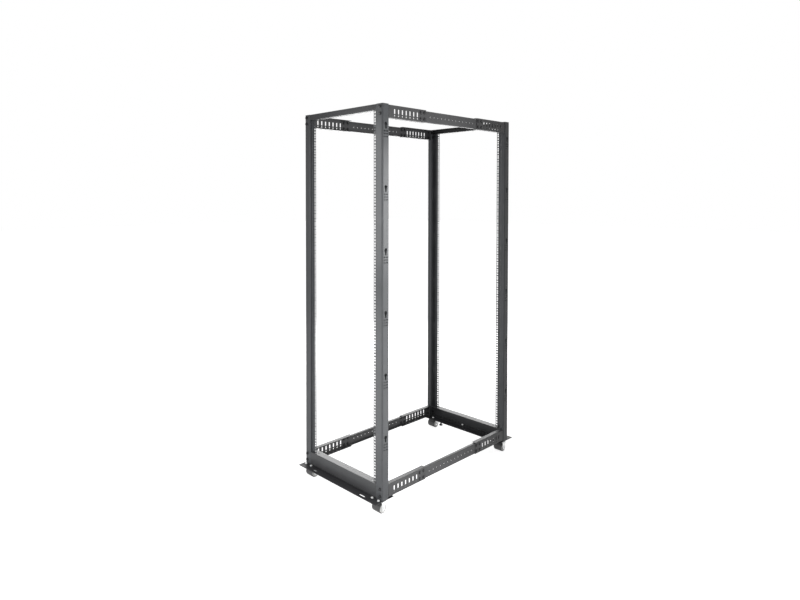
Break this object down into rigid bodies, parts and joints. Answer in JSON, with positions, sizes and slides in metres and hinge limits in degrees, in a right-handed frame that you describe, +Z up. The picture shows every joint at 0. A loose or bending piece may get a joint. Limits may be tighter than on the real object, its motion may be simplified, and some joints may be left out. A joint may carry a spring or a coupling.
{
  "type": "four post open frame rack",
  "caption": "Tall open frame rack: perforated bent sheet posts joined by base beams, top rails and telescoping slotted side rails, standing on base plates with swivel casters.",
  "frame": {"origin": "on the floor under the middle of the rack", "axes": "+X across the width to the right as seen from the front, -Y to the front, +Z up"},
  "size_m": [0.6, 1.232, 2.0402],
  "materials": {
    "black_coat": "satin black powder coat",
    "zinc": "zinc plated steel",
    "caster_wheel": "dark moulded tyre",
    "foot": "black foot pad on a stem"
  },
  "bodies": {
    "frame": {"front_base_beam": "black_coat", "front_base_plate": "black_coat", "front_left_caster_plate": "zinc", "front_left_levelling_foot": "foot", "front_left_post": "black_coat", "front_right_caster_plate": "zinc", "front_right_levelling_foot": "foot", "front_right_post": "black_coat", "front_top_rail": "black_coat", "left_bottom_centre_rail": "black_coat", "left_bottom_front_bracket": "black_coat", "left_bottom_rear_bracket": "black_coat", "left_top_centre_rail": "black_coat", "left_top_front_bracket": "black_coat", "left_top_rear_bracket": "black_coat", "rear_base_beam": "black_coat", "rear_base_plate": "black_coat", "rear_left_caster_plate": "zinc", "rear_left_levelling_foot": "foot", "rear_left_post": "black_coat", "rear_right_caster_plate": "zinc", "rear_right_levelling_foot": "foot", "rear_right_post": "black_coat", "rear_top_rail": "black_coat", "right_bottom_centre_rail": "black_coat", "right_bottom_front_bracket": "black_coat", "right_bottom_rear_bracket": "black_coat", "right_top_centre_rail": "black_coat", "right_top_front_bracket": "black_coat", "right_top_rear_bracket": "black_coat"},
    "front_left_swivel": {"front_left_caster_horn": "zinc"},
    "front_left_wheel": {"front_left_caster_wheel": "caster_wheel"},
    "front_right_swivel": {"front_right_caster_horn": "zinc"},
    "front_right_wheel": {"front_right_caster_wheel": "caster_wheel"},
    "rear_left_swivel": {"rear_left_caster_horn": "zinc"},
    "rear_left_wheel": {"rear_left_caster_wheel": "caster_wheel"},
    "rear_right_swivel": {"rear_right_caster_horn": "zinc"},
    "rear_right_wheel": {"rear_right_caster_wheel": "caster_wheel"}
  },
  "joints": [
    {"name": "front_left_caster_swivel", "type": "hinge", "parent": "frame", "child": "front_left_swivel", "pos_m": [-0.262, -0.5425, 0.0642], "axis": [0, 0, 1], "continuous": true},
    {"name": "front_left_wheel_spin", "type": "hinge", "parent": "front_left_swivel", "child": "front_left_wheel", "pos_m": [-0.262, -0.5495, 0.025], "axis": [1, 0, 0], "continuous": true},
    {"name": "front_right_caster_swivel", "type": "hinge", "parent": "frame", "child": "front_right_swivel", "pos_m": [0.262, -0.5425, 0.0642], "axis": [0, 0, 1], "continuous": true},
    {"name": "front_right_wheel_spin", "type": "hinge", "parent": "front_right_swivel", "child": "front_right_wheel", "pos_m": [0.262, -0.5495, 0.025], "axis": [1, 0, 0], "continuous": true},
    {"name": "rear_left_caster_swivel", "type": "hinge", "parent": "frame", "child": "rear_left_swivel", "pos_m": [-0.262, 0.5425, 0.0642], "axis": [0, 0, 1], "continuous": true},
    {"name": "rear_left_wheel_spin", "type": "hinge", "parent": "rear_left_swivel", "child": "rear_left_wheel", "pos_m": [-0.262, 0.5355, 0.025], "axis": [1, 0, 0], "continuous": true},
    {"name": "rear_right_caster_swivel", "type": "hinge", "parent": "frame", "child": "rear_right_swivel", "pos_m": [0.262, 0.5425, 0.0642], "axis": [0, 0, 1], "continuous": true},
    {"name": "rear_right_wheel_spin", "type": "hinge", "parent": "rear_right_swivel", "child": "rear_right_wheel", "pos_m": [0.262, 0.5355, 0.025], "axis": [1, 0, 0], "continuous": true}
  ]
}
